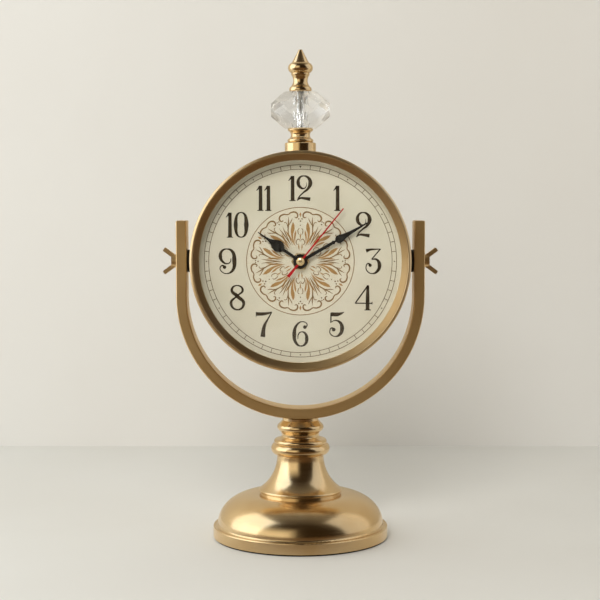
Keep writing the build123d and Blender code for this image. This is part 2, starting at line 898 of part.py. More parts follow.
with BuildPart() as movement_back:
    with BuildSketch(facing(movement_rear)):
        RectangleRounded(movement_width, movement_height, movement_round)
    extrude(amount=movement_split - movement_rear)
    with BuildSketch(facing(floor_inner)):
        RectangleRounded(bay_half * 2, -bay_foot * 2, movement_round - movement_wall)
    extrude(amount=movement_split - floor_inner, mode=Mode.SUBTRACT)
    with BuildSketch(facing(floor_inner)):
        with Locations((0, bay_top + bay_wall / 2)):
            Rectangle(bay_half * 2, bay_wall)
    extrude(amount=movement_split - floor_inner)
    with BuildSketch(facing(movement_split)):
        with Locations((0, bay_top + bay_wall / 2)):
            Rectangle((bay_half - seat_gap) * 2, bay_wall)
    extrude(amount=plate_inner - movement_split)
    with BuildSketch(facing(floor_inner)):
        Circle(post_radius)
    extrude(amount=cannon_back - post_gap - floor_inner)
    with BuildSketch(facing(cannon_back)):
        Circle(minute_bore)
    extrude(amount=-(arbor_tail + post_gap), mode=Mode.SUBTRACT)
    with BuildSketch(facing(movement_rear, wheel_distance)):
        Circle(knob_shaft_radius + running_clearance)
    extrude(amount=movement_wall, mode=Mode.SUBTRACT)
    with BuildSketch(facing(movement_rear)):
        with Locations((0, (bay_top + bay_foot) / 2)):
            Rectangle(bay_half * 2, bay_top - bay_foot)
    extrude(amount=movement_wall, mode=Mode.SUBTRACT)

with BuildPart() as bush_nut:
    with BuildSketch(facing(dial_front)):
        RegularPolygon(bush_nut_width / 2, 6, major_radius=False)
        Circle(bush_radius + thread_gap, mode=Mode.SUBTRACT)
    extrude(amount=bush_nut_height)

# battery along the bay, its cap end to the right, between two sprung contacts
contact_face = battery_length / 2
battery_axis = Plane(
    origin=(0, -battery_depth, pivot_height + battery_rise), x_dir=(0, 1, 0), z_dir=(1, 0, 0)
)
with BuildPart() as battery:
    with BuildSketch(battery_axis.offset(-contact_face)):
        Circle(battery_radius)
    extrude(amount=battery_length - battery_nub)
    with BuildSketch(battery_axis.offset(contact_face - battery_nub)):
        Circle(battery_nub_radius)
    extrude(amount=battery_nub)

with BuildPart() as right_contact:
    with BuildSketch(battery_axis.offset(bay_half)):
        Rectangle(contact_width, contact_width)
    extrude(amount=-contact_thickness)
    with BuildSketch(battery_axis.offset(bay_half - contact_thickness)):
        Circle(contact_boss_radius)
    extrude(amount=-contact_boss)

with BuildPart() as left_contact:
    mirror(right_contact.part, about=Plane.YZ)

# drive coil on its bobbin and the circuit board, both on the floor of the rear half
coil_depth = floor_inner + coil_flange_radius
coil_axis = Plane(
    origin=(-coil_offset, -coil_depth, pivot_height + coil_lift), x_dir=(1, 0, 0), z_dir=(0, 0, 1)
)
with BuildPart() as drive_coil:
    with BuildSketch(coil_axis):
        Circle(coil_radius)
    extrude(amount=coil_length / 2, both=True)
    with BuildSketch(coil_axis.offset(coil_length / 2)):
        Circle(coil_flange_radius)
    extrude(amount=-coil_flange)
    with BuildSketch(coil_axis.offset(-coil_length / 2)):
        Circle(coil_flange_radius)
    extrude(amount=coil_flange)

with BuildPart() as circuit_board:
    with BuildSketch(facing(floor_inner)):
        with Locations((board_offset, board_lift)):
            Rectangle(board_width, board_length)
    extrude(amount=board_thickness)
    with BuildSketch(facing(floor_inner + board_thickness)):
        with Locations((board_offset, board_lift)):
            Rectangle(chip_width, chip_width)
    extrude(amount=board_thickness)

# hour wheel with its pipe out through the bush
with BuildPart() as hour_wheel:
    with BuildSketch(facing(hour_wheel_back)):
        draw_wheel(hour_wheel_teeth, relay_module, 180 / hour_wheel_teeth)
    extrude(amount=wheel_thickness)
    with BuildSketch(facing(hour_wheel_back)):
        Circle(hour_pipe_radius)
    extrude(amount=hour_hand_back + hand_thickness + pipe_end - hour_wheel_back)
    with BuildSketch(facing(hour_wheel_back)):
        Circle(hour_bore)
    extrude(amount=bezel_front - hour_wheel_back, mode=Mode.SUBTRACT)

# minute wheel: relay pinion and wheel on one shaft, which carries the setting knob
with BuildPart() as minute_wheel:
    with BuildSketch(facing(relay_back - wheel_thickness, wheel_distance)):
        draw_wheel(minute_wheel_teeth, going_module, 180 / minute_wheel_teeth)
    extrude(amount=wheel_thickness)
    with BuildSketch(facing(relay_back, wheel_distance)):
        draw_wheel(relay_teeth, relay_module, 180 / relay_teeth)
    extrude(amount=relay_length)
    with BuildSketch(facing(movement_rear - knob_gap - knob_bore_depth, wheel_distance)):
        Circle(knob_shaft_radius)
    extrude(amount=plate_inner + bearing_depth - turning_gap - movement_rear + knob_gap + knob_bore_depth)

with BuildPart() as set_knob:
    with BuildSketch(facing(movement_rear - knob_gap, wheel_distance)):
        Circle(knob_radius)
        with PolarLocations(knob_radius, knob_grips):
            Circle(grip_radius, mode=Mode.SUBTRACT)
    extrude(amount=-knob_height)
    with BuildSketch(facing(movement_rear - knob_gap, wheel_distance)):
        Circle(knob_shaft_radius + seat_gap)
    extrude(amount=-knob_bore_depth - seat_gap, mode=Mode.SUBTRACT)

# cannon pinion with the minute pipe
with BuildPart() as cannon_pinion:
    with BuildSketch(facing(cannon_back)):
        draw_wheel(cannon_teeth, going_module, 0)
    extrude(amount=cannon_length)
    with BuildSketch(facing(cannon_back)):
        Circle(minute_pipe_radius)
    extrude(amount=minute_hand_back + hand_thickness + pipe_end - cannon_back)
    with BuildSketch(facing(cannon_back)):
        Circle(minute_bore)
    extrude(amount=bezel_front - cannon_back, mode=Mode.SUBTRACT)

with BuildPart() as seconds_arbor:
    with BuildSketch(facing(cannon_back - arbor_tail)):
        Circle(arbor_radius)
    extrude(amount=second_hand_front - cannon_back + arbor_tail)

# hands: pear-shaped spades drawn to a fine point
with BuildPart() as hour_hand:
    with BuildSketch(pointing(hour_hand_back, hour_angle)):
        with BuildLine():
            Line((0, 0), (0, stem_half))
            Line((0, stem_half), (hour_neck, stem_half))
            Spline(
                (hour_neck, stem_half),
                (hour_bulge, hour_bulge_half),
                tangents=((hour_lean_share, 1), (1, 0)),
            )
            Spline(
                (hour_bulge, hour_bulge_half),
                (hour_taper, hour_taper_half),
                (hour_length, tip_half),
                tangents=((1, 0), (1, 0)),
            )
            Line((hour_length, tip_half), (hour_length, 0))
            mirror(about=Plane.XZ)
        make_face()
        Circle(hour_boss_radius)
        Circle(hour_pipe_radius + seat_gap, mode=Mode.SUBTRACT)
    extrude(amount=hand_thickness)

with BuildPart() as minute_hand:
    with BuildSketch(pointing(minute_hand_back, minute_angle)):
        with BuildLine():
            Line((0, 0), (0, stem_half))
            Line((0, stem_half), (minute_neck, stem_half))
            Spline(
                (minute_neck, stem_half),
                (minute_bulge, minute_bulge_half),
                tangents=((minute_lean_share, 1), (1, 0)),
            )
            Spline(
                (minute_bulge, minute_bulge_half),
                (minute_taper, minute_taper_half),
                (minute_length, tip_half),
                tangents=((1, 0), (1, 0)),
            )
            Line((minute_length, tip_half), (minute_length, 0))
            mirror(about=Plane.XZ)
        make_face()
        with Locations((minute_bead, 0)):
            Circle(minute_bead_radius)
        Circle(minute_boss_radius)
        Circle(minute_pipe_radius + seat_gap, mode=Mode.SUBTRACT)
    extrude(amount=hand_thickness)

with BuildPart() as second_hand:
    with BuildSketch(pointing(second_hand_back, second_angle)):
        with BuildLine():
            Polyline(
                (second_length, tip_half),
                (0, second_half),
                (-second_tail, second_tail_half),
                (-second_tail, -second_tail_half),
                (0, -second_half),
                (second_length, -tip_half),
                (second_length, tip_half),
            )
        make_face()
        Circle(second_boss_radius)
        Circle(arbor_radius + seat_gap, mode=Mode.SUBTRACT)
    extrude(amount=hand_thickness)

with BuildPart() as centre_cap:
    with BuildSketch(clock_section):
        with BuildLine():
            Line((0, second_hand_front), (cap_dome_radius, second_hand_front))
            dome = EllipticalCenterArc(
                (cap_flat_radius, second_hand_front),
                cap_dome_radius - cap_flat_radius,
                cap_dome_height,
                arc_size=90,
            )
            Polyline(dome @ 1, (0, second_hand_front + cap_dome_height), (0, second_hand_front))
        make_face()
    revolve(axis=clock_axis)

pieces = {
    "base_pad": base_pad,
    "base_shell": base_shell,
    "base_ballast": base_ballast,
    "column_flare": column_flare,
    "lower_knop": lower_knop,
    "upper_knop": upper_knop,
    "tie_rod": tie_rod,
    "tie_washer": tie_washer,
    "tie_nut": tie_nut,
    "yoke": yoke,
    "case_band": case_band,
    "bezel": bezel,
    "front_glass": front_glass,
    "dial_spacer": dial_spacer,
    "dial": dial,
    "dial_clamp": dial_clamp,
    "rear_cover": rear_cover,
    "right_pad": right_pad,
    "right_stud": right_stud,
    "right_spacer": right_spacer,
    "right_wing_nut": right_wing_nut,
    **left_pivots,
    "finial_collar": finial_collar,
    "finial_nut": finial_nut,
    "finial_rod": finial_rod,
    "cut_bead": cut_bead,
    "finial_tip": finial_tip,
    "movement_front": movement_front,
    "movement_back": movement_back,
    "bush_nut": bush_nut,
    "battery": battery,
    "right_contact": right_contact,
    "left_contact": left_contact,
    "drive_coil": drive_coil,
    "circuit_board": circuit_board,
    "hour_wheel": hour_wheel,
    "minute_wheel": minute_wheel,
    "set_knob": set_knob,
    "cannon_pinion": cannon_pinion,
    "seconds_arbor": seconds_arbor,
    "hour_hand": hour_hand,
    "minute_hand": minute_hand,
    "second_hand": second_hand,
    "centre_cap": centre_cap,
}
for number, cover_screw in enumerate(cover_screws, start=1):
    pieces[f"cover_screw_{number}"] = cover_screw

for label, piece in pieces.items():
    piece.part.label = label
    export_step(piece.part, f"parts/{label}.step")
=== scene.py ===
import math

import bmesh
import bpy
from mathutils import Matrix, Vector


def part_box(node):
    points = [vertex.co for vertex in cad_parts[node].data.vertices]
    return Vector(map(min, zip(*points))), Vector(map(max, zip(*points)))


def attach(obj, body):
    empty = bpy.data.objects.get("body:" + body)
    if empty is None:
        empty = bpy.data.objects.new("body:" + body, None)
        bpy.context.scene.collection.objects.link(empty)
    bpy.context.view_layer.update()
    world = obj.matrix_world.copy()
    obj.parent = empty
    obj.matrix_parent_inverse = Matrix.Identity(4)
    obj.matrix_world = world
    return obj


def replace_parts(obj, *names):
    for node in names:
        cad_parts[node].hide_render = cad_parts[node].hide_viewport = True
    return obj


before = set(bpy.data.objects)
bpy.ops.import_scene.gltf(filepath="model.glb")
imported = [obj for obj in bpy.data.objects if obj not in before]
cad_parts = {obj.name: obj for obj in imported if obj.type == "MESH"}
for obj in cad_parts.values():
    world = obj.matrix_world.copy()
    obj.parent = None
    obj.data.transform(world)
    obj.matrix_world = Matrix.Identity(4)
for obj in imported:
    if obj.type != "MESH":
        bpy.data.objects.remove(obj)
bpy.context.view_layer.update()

# Table clock in satin brass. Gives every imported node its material, puts a finer bezel and finer hands in
# place of the solids', prints the dial, and sets up the table, the wall, the lamps and the camera.
mm = 0.001
pivotLevel = sum(corner.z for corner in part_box("dial")) / 2
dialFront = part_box("dial")[0].y
dialCentre = Vector((0, 0, pivotLevel))
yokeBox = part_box("yoke")
bendLevel = yokeBox[0].z + (yokeBox[1].x - yokeBox[0].x) / 2  # where the arms turn into the bow
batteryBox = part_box("battery")
print("frame loaded:", len(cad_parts), "nodes")


def toLinear(hexColour):
    # sRGB hex to the linear colour that nodes take
    channels = [int(hexColour[start:start + 2], 16) / 255 for start in (1, 3, 5)]
    linear = [c / 12.92 if c <= 0.04045 else ((c + 0.055) / 1.055) ** 2.4 for c in channels]
    return (*linear, 1)


def addNode(tree, kind, settings=None, links=None, **properties):
    node = tree.nodes.new("ShaderNode" + kind)
    for name, value in properties.items():
        setattr(node, name, value)
    for socket, value in (settings or {}).items():
        node.inputs[socket].default_value = value
    for socket, source in (links or {}).items():
        tree.links.new(source, node.inputs[socket])
    return node


def startMaterial(name, finish):
    material = bpy.data.materials.new(name)
    material.use_nodes = True
    tree = material.node_tree
    shader = tree.nodes["Principled BSDF"]
    for socket, value in finish.items():
        shader.inputs[socket].default_value = value
    place = addNode(tree, "TexCoord").outputs["Object"]
    return material, tree, shader, place


def varyColour(tree, shader, place, light, dark, size, low=0.35, high=0.7):
    # slow change between two tones, as wide as the given size
    noise = addNode(tree, "TexNoise", {"Scale": 1 / size, "Detail": 3}, {"Vector": place})
    band = addNode(tree, "MapRange", {"From Min": low, "From Max": high}, {"Value": noise.outputs["Fac"]})
    tones = {6: toLinear(light), 7: toLinear(dark)}
    mix = addNode(tree, "Mix", tones, {0: band.outputs["Result"]}, data_type="RGBA")
    tree.links.new(mix.outputs[2], shader.inputs["Base Color"])
    return mix.outputs[2]


def roughen(tree, shader, place, size, rough, height=0, detail=2):
    # fine grain that moves the roughness between two values, and the surface by its height
    noise = addNode(tree, "TexNoise", {"Scale": 1 / size, "Detail": detail}, {"Vector": place})
    grain = noise.outputs["Fac"]
    level = addNode(tree, "MapRange", {"To Min": rough[0], "To Max": rough[1]}, {"Value": grain})
    tree.links.new(level.outputs["Result"], shader.inputs["Roughness"])
    if height:
        bump = addNode(tree, "Bump", {"Strength": 1, "Distance": height}, {"Height": grain})
        tree.links.new(bump.outputs["Normal"], shader.inputs["Normal"])


def letThrough(tree, shader):
    # mixes in a clear shader, and gives back the socket that takes its share
    clear = addNode(tree, "BsdfTransparent")
    mix = addNode(tree, "MixShader", links={1: shader.outputs[0], 2: clear.outputs[0]})
    tree.links.new(mix.outputs[0], tree.nodes["Material Output"].inputs["Surface"])
    return mix.inputs[0]


def grainedMaterial(name, look, finish):
    # two tones in slow clouds, under an even fine grain
    material, tree, shader, place = startMaterial(name, finish)
    varyColour(tree, shader, place, look["colour"], look["shade"], look["cloud"])
    roughen(tree, shader, place, look["grain"], look["rough"], look.get("height", 0), look.get("detail", 2))
    return material


brass = {
    "colour": "#E8D1A8",  # fresh plating
    "tarnish": "#D8B884",  # where the lacquer has warmed
    "barColour": "#F5DDAC",  # the flat bar's plate is paler
    "barTarnish": "#E8C78F",
    "tarnishSize": 32 * mm,
    "tarnishLow": 0.25,
    "tarnishHigh": 0.8,
    "lineSpacing": 0.7 * mm,  # coarser than real brushing, so that the lines show at this distance
    "lineHeight": 0.004 * mm,
    "lacquer": 0.45,
    "lacquerRoughness": 0.16,
}


def brassFinish(name, across, rough, tones=("colour", "tarnish")):
    # lacquered brass plate, brushed or turned: soft streaked highlights that run with the brushing
    lacquer = {"Coat Weight": brass["lacquer"], "Coat Roughness": brass["lacquerRoughness"]}
    material, tree, shader, place = startMaterial(name, {"Metallic": 1, **lacquer})
    light, dark = (brass[tone] for tone in tones)
    varyColour(
        tree, shader, place, light, dark, brass["tarnishSize"], brass["tarnishLow"], brass["tarnishHigh"]
    )
    roughen(tree, shader, across(tree, place), brass["lineSpacing"], rough, brass["lineHeight"])
    return material


def ringsAbout(tree, place, mask, axis):
    # the lines that a lathe leaves: distance from its axis, and place along it
    flat = addNode(tree, "VectorMath", {1: mask}, {0: place}, operation="MULTIPLY")
    reach = addNode(tree, "VectorMath", links={0: flat.outputs[0]}, operation="LENGTH")
    parts = addNode(tree, "SeparateXYZ", links={0: place})
    return addNode(
        tree, "CombineXYZ", links={0: reach.outputs["Value"], axis: parts.outputs[axis]}
    ).outputs[0]


def roundUpright(tree, place):
    # rings about the pedestal's axis
    return ringsAbout(tree, place, (1, 1, 0), 2)


def roundDrum(tree, place):
    # rings about the drum's axis
    centred = addNode(tree, "Mapping", {"Location": -dialCentre}, {"Vector": place})
    return ringsAbout(tree, centred.outputs[0], (1, 0, 1), 1)


def alongBar(tree, place):
    # lines that run along the yoke: straight up the arms, and round the bow below them
    parts = addNode(tree, "SeparateXYZ", links={0: place})
    drop = addNode(tree, "Math", {1: bendLevel}, {0: parts.outputs["Z"]}, operation="SUBTRACT")
    below = addNode(tree, "Math", {1: 0}, {0: drop.outputs[0]}, operation="MINIMUM")
    flat = addNode(tree, "CombineXYZ", links={0: parts.outputs["X"], 2: below.outputs[0]})
    reach = addNode(tree, "VectorMath", links={0: flat.outputs[0]}, operation="LENGTH")
    return addNode(tree, "CombineXYZ", links={0: reach.outputs["Value"], 1: parts.outputs["Y"]}).outputs[0]


zinc = {
    "colour": "#B9BABA",
    "shade": "#8F9193",
    "cloud": 6 * mm,
    "grain": 0.3 * mm,
    "rough": (0.22, 0.36),
    "height": 0.003 * mm,
}


def zincPlatedSteel():
    # cold-formed steel with bright zinc: pale grey, slightly cloudy
    return grainedMaterial("zincPlatedSteel", zinc, {"Metallic": 1})


rod = {"colour": "#C9C9C7", "shade": "#8E8C88", "cloud": 4 * mm, "grain": 0.5 * mm, "rough": (0.08, 0.18)}


def groundSteelRod():
    # ground steel: a bright mirror streak in the middle of the bead
    material, tree, shader, place = startMaterial("groundSteelRod", {"Metallic": 1})
    varyColour(tree, shader, place, rod["colour"], rod["shade"], rod["cloud"])
    roughen(tree, shader, roundUpright(tree, place), rod["grain"], rod["rough"])
    return material


crystal = {
    "colour": "#FFFFFF",
    "shade": "#F8FAFA",
    "cloud": 9 * mm,
    "grain": 1.5 * mm,
    "rough": (0, 0.006),
    "ior": 1.53,
    "softness": 0.35,  # share of light that the facets don't bend: a small bead looks paler than a prism
}


def cutCrystal():
    # lead crystal, ground flat and polished: clear, with hard sparkles at the facets
    clearGlass = {"Transmission Weight": 1, "IOR": crystal["ior"]}
    material, tree, shader, place = startMaterial("cutCrystal", clearGlass)
    varyColour(tree, shader, place, crystal["colour"], crystal["shade"], crystal["cloud"])
    roughen(tree, shader, place, crystal["grain"], crystal["rough"])
    letThrough(tree, shader).default_value = crystal["softness"]
    return material


pane = {
    "colour": "#FFFFFF",
    "shade": "#FBFDFB",
    "cloud": 40 * mm,
    "grain": 12 * mm,
    "rough": (0, 0.02),
    "ior": 1.5,
}


def floatGlass():
    # float glass, 1.8 mm: clear, faintly green through its edge
    clearGlass = {"Transmission Weight": 1, "IOR": pane["ior"]}
    material, tree, shader, place = startMaterial("floatGlass", clearGlass)
    varyColour(tree, shader, place, pane["colour"], pane["shade"], pane["cloud"])
    roughen(tree, shader, place, pane["grain"], pane["rough"])
    rays = addNode(tree, "LightPath")  # the light on the dial comes straight through the pane
    lighting = addNode(
        tree,
        "Math",
        links={0: rays.outputs["Is Shadow Ray"], 1: rays.outputs["Is Diffuse Ray"]},
        operation="MAXIMUM",
    )
    tree.links.new(lighting.outputs[0], letThrough(tree, shader))
    return material


paper = {
    "colour": "#D9D4C2",
    "shade": "#D2CCB8",
    "cloud": 26 * mm,
    "grain": 0.5 * mm,
    "rough": (0.48, 0.62),
    "height": 0.004 * mm,
}


def coatedPaper():
    # printed and varnished paper on a steel disc: even cream with a faint mottle
    return grainedMaterial("coatedDialPaper", paper, {"Specular IOR Level": 0.35})


printing = {"cloud": 2.5 * mm, "grain": 0.6 * mm, "rough": (0.5, 0.7)}


def printedInk(name, colour, shade):
    # offset ink: flat and matt, a little uneven where the paper takes it
    look = {"colour": colour, "shade": shade, **printing}
    return grainedMaterial(name, look, {"Specular IOR Level": 0.3})


tin = {"cloud": 7 * mm, "grain": 0.4 * mm, "height": 0.003 * mm}


def lacqueredTin(name, colour, shade, rough):
    # pressed tin sheet with a sprayed coat: smooth, half matt
    look = {"colour": colour, "shade": shade, "rough": rough, **tin}
    return grainedMaterial(name, look, {"Specular IOR Level": 0.3})


plastic = {"cloud": 14 * mm, "grain": 0.25 * mm, "height": 0.012 * mm}


def mouldedPlastic(name, colour, shade, rough):
    # injection moulded from an eroded tool: fine even grain
    look = {"colour": colour, "shade": shade, "rough": rough, **plastic}
    return grainedMaterial(name, look, {"IOR": 1.53})


felt = {
    "colour": "#141210",
    "shade": "#0B0A09",
    "cloud": 1.2 * mm,
    "grain": 0.35 * mm,
    "rough": (0.85, 1),
    "height": 0.08 * mm,
    "detail": 5,
}


def pressedFelt():
    # black wool felt: no gloss, a pale fuzz where light grazes it
    return grainedMaterial("pressedFelt", felt, {"Sheen Weight": 0.12, "Sheen Roughness": 0.6})


castIron = {
    "colour": "#55524E",
    "shade": "#38332F",
    "cloud": 7 * mm,
    "grain": 0.9 * mm,
    "rough": (0.55, 0.8),
    "height": 0.08 * mm,
    "detail": 4,
}


def sandCastIron():
    # cast in sand: dark, dull and pebbled
    return grainedMaterial("sandCastIron", castIron, {"Metallic": 0.7})


film = {"jacket": "#2C3A4A", "cap": "#B98A4E", "split": 0.68, "grain": 1.5 * mm, "rough": (0.22, 0.34)}


def shrinkJacket():
    # printed shrink film over a can: two plain colour bands, glossy
    material, tree, shader, place = startMaterial("shrinkFilmJacket", {"Coat Weight": 0.5})
    parts = addNode(tree, "SeparateXYZ", links={0: place})
    ends = {"From Min": batteryBox[0].x, "From Max": batteryBox[1].x}
    along = addNode(tree, "MapRange", ends, {"Value": parts.outputs["X"]})
    bands = addNode(tree, "ValToRGB", links={"Fac": along.outputs["Result"]})
    bands.color_ramp.interpolation = "CONSTANT"
    bands.color_ramp.elements[0].color = toLinear(film["jacket"])
    bands.color_ramp.elements[1].position = film["split"]
    bands.color_ramp.elements[1].color = toLinear(film["cap"])
    tree.links.new(bands.outputs["Color"], shader.inputs["Base Color"])
    roughen(tree, shader, place, film["grain"], film["rough"])
    return material


coil = {
    "wire": "#B5652E",
    # the gap tone is painted shade in the grooves between the turns
    "gap": "#6E3516",
    "pitch": 0.45 * mm,  # coarser than the real 0.05 mm wire, so that it shows
    "waves": 20 / math.tau,  # bands that a wave texture of scale 1 draws in a metre
    "waver": 0.3,
    "height": 0.05 * mm,
    "rough": (0.5, 0.3),
}


def enamelledCopper():
    # fine copper wire wound turn by turn: warm metal, with painted shade as dark lines in the grooves
    # between the turns
    material, tree, shader, place = startMaterial("enamelledCopperWinding", {"Metallic": 0.9})
    scale = 1 / (coil["pitch"] * coil["waves"])
    settings = {"Scale": scale, "Distortion": coil["waver"], "Detail": 1}
    turns = addNode(tree, "TexWave", settings, {"Vector": place}, bands_direction="Z").outputs["Fac"]
    tones = {6: toLinear(coil["gap"]), 7: toLinear(coil["wire"])}
    mix = addNode(tree, "Mix", tones, {0: turns}, data_type="RGBA")
    tree.links.new(mix.outputs[2], shader.inputs["Base Color"])
    bump = addNode(tree, "Bump", {"Distance": coil["height"]}, {"Height": turns})
    tree.links.new(bump.outputs["Normal"], shader.inputs["Normal"])
    low, high = coil["rough"]
    level = addNode(tree, "MapRange", {"To Min": low, "To Max": high}, {"Value": turns})
    tree.links.new(level.outputs["Result"], shader.inputs["Roughness"])
    return material


board = {
    "Color1": "#1F5A3A",
    "Color2": "#235F3F",
    "Mortar": "#3F8457",
    "track": 0.07,
    "spacing": 9 * mm,
    "grain": 0.5 * mm,
    "rough": (0.3, 0.45),
}


def solderMask():
    # glass-fibre board under green mask: paler where a track runs below it
    material, tree, shader, place = startMaterial("solderMaskBoard", {"Coat Weight": 0.4})
    settings = {"Scale": 1 / board["spacing"], "Mortar Size": board["track"]}
    tracks = addNode(tree, "TexBrick", settings, {"Vector": place})
    for socket in ("Color1", "Color2", "Mortar"):
        tracks.inputs[socket].default_value = toLinear(board[socket])
    tree.links.new(tracks.outputs["Color"], shader.inputs["Base Color"])
    roughen(tree, shader, place, board["grain"], board["rough"])
    return material


finishes = {
    brassFinish("spunBrass", roundUpright, (0.13, 0.3)): ("base_shell", "column_flare"),
    brassFinish("polishedTurnedBrass", roundUpright, (0.14, 0.22)): (
        "lower_knop", "upper_knop", "finial_collar", "finial_tip",
    ),
    brassFinish("brushedBarBrass", alongBar, (0.38, 0.68), ("barColour", "barTarnish")): ("yoke",),
    brassFinish("turnedDrumBrass", roundDrum, (0.2, 0.3)): ("case_band", "rear_cover", "bush_nut"),
    brassFinish("satinBezelBrass", roundDrum, (0.3, 0.48)): ("bezel",),
    brassFinish("polishedCapBrass", roundDrum, (0.12, 0.2)): ("centre_cap",),
    brassFinish("castWingBrass", roundDrum, (0.38, 0.48)): ("right_wing_nut", "left_wing_nut"),
    zincPlatedSteel(): (
        "tie_rod", "tie_washer", "tie_nut", "right_stud", "left_stud", "finial_nut", "right_contact",
        "left_contact", "cover_screw_1", "cover_screw_2", "cover_screw_3", "cover_screw_4",
        "seconds_arbor", "right_pad", "left_pad",
    ),
    groundSteelRod(): ("finial_rod",),
    cutCrystal(): ("cut_bead",),
    floatGlass(): ("front_glass",),
    coatedPaper(): ("dial",),
    lacqueredTin("blackLacquer", "#0F0D0A", "#16130F", (0.35, 0.5)): ("hour_hand", "minute_hand"),
    lacqueredTin("redLacquer", "#B3161E", "#9C1119", (0.3, 0.45)): ("second_hand",),
    mouldedPlastic("mouldedAbsBlack", "#1C1C1D", "#262627", (0.45, 0.6)): (
        "movement_front", "movement_back", "set_knob", "dial_clamp",
    ),
    mouldedPlastic("mouldedNylonBlack", "#17130F", "#241D16", (0.5, 0.65)): ("right_spacer", "left_spacer"),
    mouldedPlastic("mouldedStyreneCream", "#D8D3C8", "#CBC5B8", (0.4, 0.55)): ("dial_spacer",),
    mouldedPlastic("mouldedAcetalWhite", "#E9E7DF", "#DAD7CC", (0.3, 0.42)): (
        "cannon_pinion", "hour_wheel", "minute_wheel",
    ),
    pressedFelt(): ("base_pad",),
    sandCastIron(): ("base_ballast",),
    shrinkJacket(): ("battery",),
    enamelledCopper(): ("drive_coil",),
    solderMask(): ("circuit_board",),
}
for material, nodeNames in finishes.items():
    for nodeName in nodeNames:
        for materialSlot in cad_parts[nodeName].material_slots:
            materialSlot.material = material
dressed = {nodeName for nodeNames in finishes.values() for nodeName in nodeNames}
print("finishes on nodes:", len(dressed), "bare:", sorted(set(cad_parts) - dressed))

# Bezel: the same ring as the solid's, with a flatter slope inside and a rounded ridge that falls away to
# the outer edge. Its corners are (distance from the drum's axis, distance in front of the studs).
bezelRing = {
    "steps": 180,
    "opening": 69.4,
    "seat": 72.95,
    "wall": 74.65,
    "outside": 76.04,
    "glass": 17.32,
    "caseFront": 19.12,
    "back": 12.52,
    "lip": 18.6,
    "lipRound": 0.3,
    "lipMiddle": (0.3, 0.7),  # the middle corner of that rounding, in shares of it
    "slopeEnd": (73.4, 20.35),
    "groove": (73.6, 20.25),
    "ridge": [
        (73.75, 20.7), (74, 20.92), (74.3, 20.98), (74.6, 20.88), (75.7, 20.12), (75.95, 19.85),
        (76.04, 19.5),
    ],
    "hardAngle": 40,
    "weld": 0.001,
}


def sharpen(shape, degrees):
    # smooth faces, with every edge that turns more than this kept hard
    for face in shape.faces:
        face.smooth = True
    for edge in shape.edges:
        edge.smooth = len(edge.link_faces) == 2 and edge.calc_face_angle(0) < math.radians(degrees)


def makeObject(shape, name, material):
    mesh = bpy.data.meshes.new(name)
    shape.to_mesh(mesh)
    shape.free()
    mesh.materials.append(material)
    obj = bpy.data.objects.new(name, mesh)
    bpy.context.collection.objects.link(obj)
    return obj


def addPiece(shape, name, body, material):
    piece = makeObject(shape, name, material)
    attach(piece, body)
    return piece


def turnedBezel():
    opening, lip, bend = bezelRing["opening"], bezelRing["lip"], bezelRing["lipRound"]
    outward, forward = bezelRing["lipMiddle"]
    profile = [
        (bezelRing["seat"], bezelRing["glass"]),
        (opening, bezelRing["glass"]),
        (opening, lip),
        (opening + bend * outward, lip + bend * forward),
        (opening + bend, lip + bend),
        bezelRing["slopeEnd"],
        bezelRing["groove"],
        *bezelRing["ridge"],
        (bezelRing["outside"], bezelRing["back"]),
        (bezelRing["wall"], bezelRing["back"]),
        (bezelRing["wall"], bezelRing["caseFront"]),
        (bezelRing["seat"], bezelRing["caseFront"]),
    ]
    shape = bmesh.new()
    corners = [shape.verts.new((reach * mm, -depth * mm, pivotLevel)) for reach, depth in profile]
    outline = [shape.edges.new(pair) for pair in zip(corners, corners[1:] + corners[:1])]
    bmesh.ops.spin(
        shape, geom=corners + outline, cent=dialCentre, axis=(0, 1, 0), angle=math.tau,
        steps=bezelRing["steps"], use_merge=True,
    )
    bmesh.ops.remove_doubles(shape, verts=shape.verts, dist=bezelRing["weld"] * mm)
    bmesh.ops.recalc_face_normals(shape, faces=shape.faces)
    sharpen(shape, bezelRing["hardAngle"])
    return shape


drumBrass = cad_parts["bezel"].material_slots[0].material
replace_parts(addPiece(turnedBezel(), "turned_bezel", "clock_head", drumBrass), "bezel")

# Hands, pressed from tin sheet. Each outline is half of the hand, as (distance from the centre, half
# width). The angle is clockwise from twelve, and the depths are those of the back and the front.
hands = {
    "hour_spade": {
        "node": "hour_hand",
        "body": "hour_train",
        "slot": "black_enamel",
        "blade": [
            (35.5, 0.3), (30.5, 0.6), (26.6, 0.95), (24.2, 1.7), (22, 2.9), (20, 3.85), (18.4, 4.1),
            (16.8, 3.75), (15.5, 2.7), (14.6, 1.3), (13.4, 1.05), (8, 1.05),
        ],
        "tail": [],
        "boss": 4.4,
        "angle": 304.5,
        "depths": (10.55, 10.95),
    },
    "minute_spade": {
        "node": "minute_hand",
        "body": "minute_train",
        "slot": "black_enamel",
        "blade": [
            (54, 0.34), (50, 0.6), (45.5, 0.85), (40.5, 1.15), (36.5, 1.6), (33.8, 2.2), (31.8, 2.7),
            (30.3, 2.75), (29, 2.1), (28, 0.8), (27.3, 0.7), (26.6, 1.3), (25.9, 1.35), (25.2, 1),
            (22, 1.1), (9, 1.1),
        ],
        "tail": [],
        "boss": 5,
        "angle": 60,
        "depths": (11.85, 12.25),
    },
    "red_needle": {
        "node": "second_hand",
        "body": "seconds_train",
        "slot": "red_enamel",
        "blade": [(47, 0.42), (24, 0.53), (4, 0.63)],
        "tail": [(-4, 0.75), (-13.6, 1.15)],
        "boss": 2,
        "angle": 39,
        "depths": (13.15, 13.55),
    },
}
bossArc = 14  # steps round each half of a boss
bladeSteps = 4  # steps in each stretch of a blade's curve


